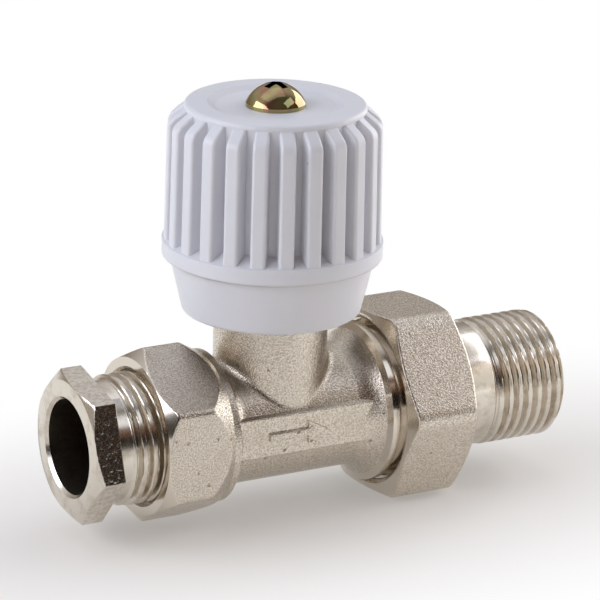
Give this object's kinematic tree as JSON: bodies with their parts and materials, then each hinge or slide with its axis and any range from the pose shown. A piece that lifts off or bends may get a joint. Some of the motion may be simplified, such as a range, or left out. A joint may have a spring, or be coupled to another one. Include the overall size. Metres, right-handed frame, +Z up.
{
  "type": "straight radiator valve",
  "caption": "Straight manual radiator valve: forged body with a compression end for copper pipe, a union with a threaded tail, and a ribbed handwheel on a rising spindle.",
  "frame": {"origin": "on the pipe axis at the inner end of the tail's thread, where the radiator's face comes", "axes": "+X along the pipe axis out of the tail's end, +Z up along the spindle towards the handwheel"},
  "size_m": [0.0859, 0.035, 0.0703],
  "materials": {
    "forged_nickel": "nickel plated over blasted forged brass",
    "machined_nickel": "nickel plated over turned brass",
    "white_abs": "semi-gloss moulded",
    "yellow_steel": "zinc plated, yellow passivated",
    "bare_brass": "turned",
    "spring_steel": "drawn",
    "epdm": "moulded",
    "ptfe": "turned"
  },
  "bodies": {
    "tail": {"tailpiece": "machined_nickel", "tail_seal_ring": "epdm"},
    "union_nut": {"union_nut": "forged_nickel"},
    "valve_body": {"valve_body": "forged_nickel", "bonnet": "bare_brass", "bonnet_seal_ring": "epdm", "packing_ring": "ptfe", "gland_follower": "bare_brass", "packing_nut": "bare_brass"},
    "disc": {"valve_disc": "bare_brass", "seat_washer": "epdm", "washer_screw": "bare_brass", "disc_clip": "spring_steel"},
    "spindle": {"spindle": "bare_brass", "lower_spindle_ring": "epdm", "upper_spindle_ring": "epdm", "handwheel": "white_abs", "handwheel_screw": "yellow_steel"},
    "olive": {"olive": "bare_brass"},
    "compression_screw": {"compression_screw": "machined_nickel"}
  },
  "joints": [
    {"name": "union_nut_turn", "type": "hinge", "parent": "tail", "child": "union_nut", "pos_m": [-0.01232, 0, 0], "axis": [1, 0, 0], "range_deg": [0, 1260]},
    {"name": "body_draw_off", "type": "slide", "parent": "tail", "child": "valve_body", "axis": [-1, 0, 0], "range_m": [0, 0.00634]},
    {"name": "disc_lift", "type": "slide", "parent": "valve_body", "child": "disc", "axis": [0, 0, 1], "range_m": [0, 0.00374]},
    {"name": "handwheel_turn", "type": "hinge", "parent": "disc", "child": "spindle", "pos_m": [-0.03632, 0, 0.03], "axis": [0, 0, 1], "range_deg": [0, 900]},
    {"name": "olive_slide", "type": "slide", "parent": "valve_body", "child": "olive", "axis": [1, 0, 0], "range_m": [-0.00316, 0.00392]},
    {"name": "compression_screw_turn", "type": "hinge", "parent": "olive", "child": "compression_screw", "pos_m": [-0.06432, 0, 0], "axis": [1, 0, 0], "range_deg": [-630, 780]}
  ],
  "couplings": [
    {"joint": "union_nut_turn", "follows": "body_draw_off", "rad_per_m": 3463.1},
    {"joint": "handwheel_turn", "follows": "disc_lift", "rad_per_m": 4188.8},
    {"joint": "compression_screw_turn", "follows": "olive_slide", "rad_per_m": 3463.1}
  ]
}
